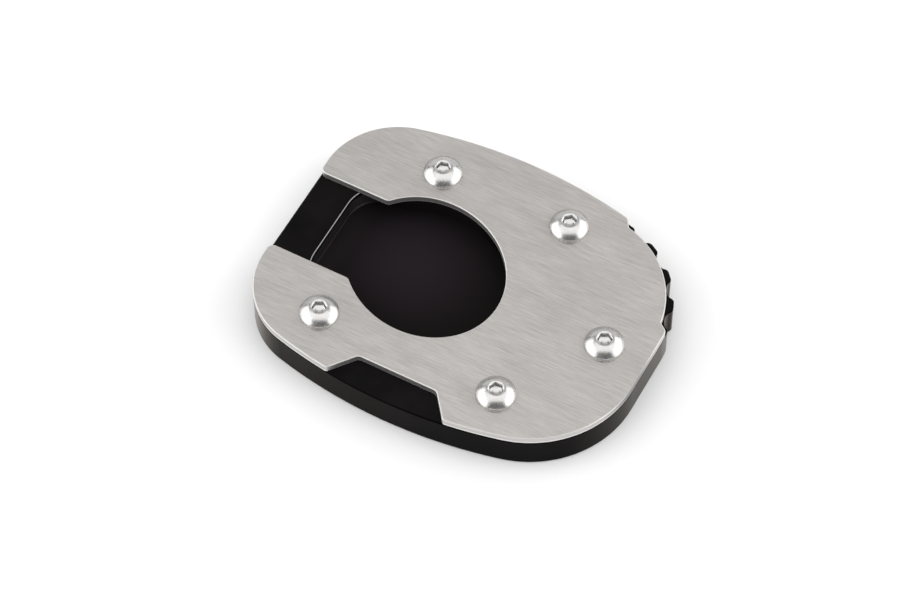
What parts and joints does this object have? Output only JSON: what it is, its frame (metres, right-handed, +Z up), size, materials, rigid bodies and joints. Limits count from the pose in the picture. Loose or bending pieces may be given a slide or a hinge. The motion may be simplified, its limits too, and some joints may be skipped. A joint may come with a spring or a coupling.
{
  "type": "kickstand foot enlarger",
  "caption": "Wide foot for a motorcycle side stand: a pocketed block with a toothed corner, under a screwed plate whose keyhole cut-out holds the stand's foot.",
  "frame": {"origin": "on the ground under the middle of the base", "axes": "+X from the open mouth to the round toe end, +Y towards the toothed corner's side, +Z up through the top plate"},
  "size_m": [0.0936, 0.075, 0.0132],
  "materials": {
    "base": "black anodised, satin",
    "top_plate": "stainless, brushed along X, bright edge breaks",
    "screws": "stainless, polished"
  },
  "bodies": {
    "root": {"base": "base", "top_plate": "top_plate", "screws": "screws"}
  },
  "joints": []
}
